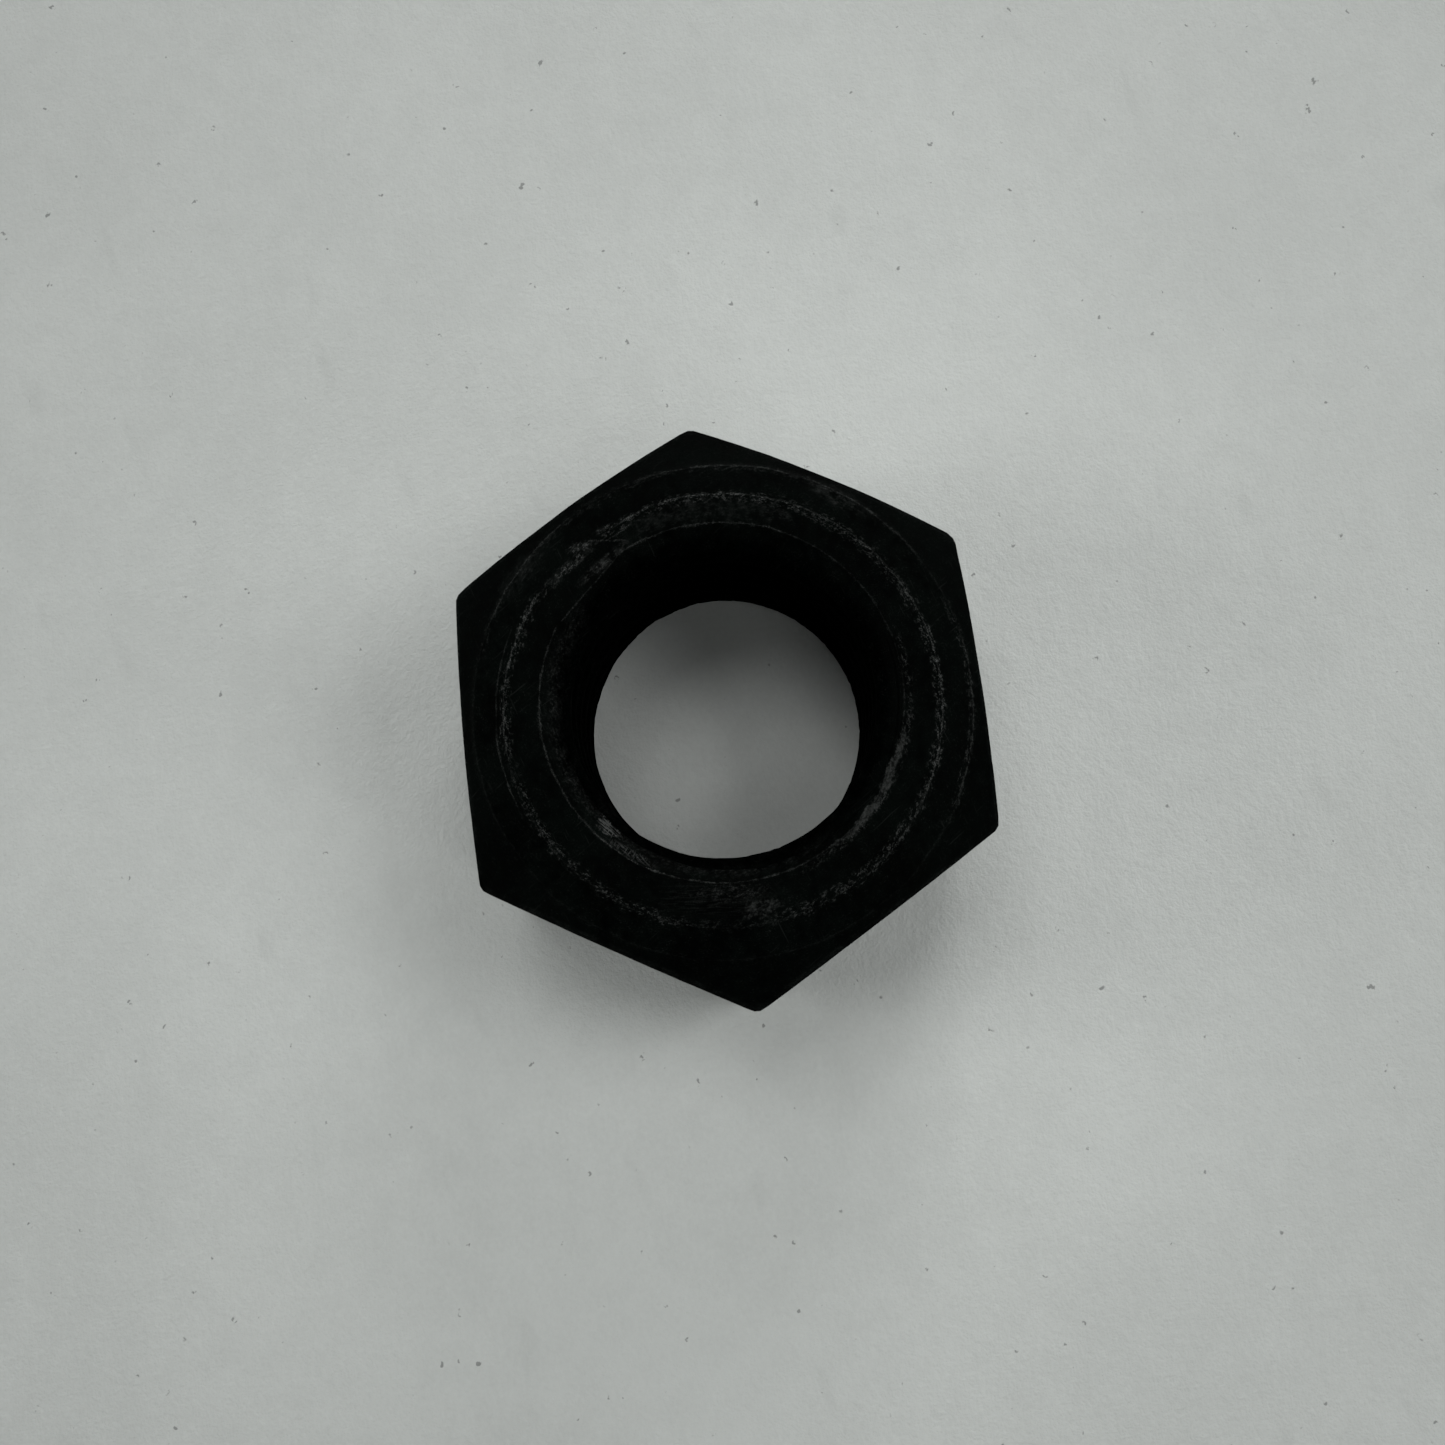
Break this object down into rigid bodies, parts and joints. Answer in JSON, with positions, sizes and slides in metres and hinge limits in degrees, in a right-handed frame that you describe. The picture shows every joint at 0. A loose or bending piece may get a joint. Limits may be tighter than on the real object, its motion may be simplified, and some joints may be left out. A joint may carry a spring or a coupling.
{
  "type": "hex nut",
  "caption": "Thick hexagon nut with a right-hand coarse thread, countersunk mouths, a flat bearing ring and chamfered corners on both faces, in dark oxide-finished steel.",
  "frame": {"origin": "where the thread's axis meets the plane of the lower bearing face", "axes": "+Z along the thread's axis, from the lower bearing face to the upper one; +X across two opposite corners of the hexagon; +Y square to a pair of flats"},
  "size_m": [0.0409, 0.0356, 0.019],
  "materials": {
    "blackened_steel": "black oxide over forged steel, satin, worn to bare metal along the edge of the bearing ring, the countersink's mouth and scattered specks"
  },
  "bodies": {
    "root": {"hex_nut": "blackened_steel"}
  },
  "joints": []
}
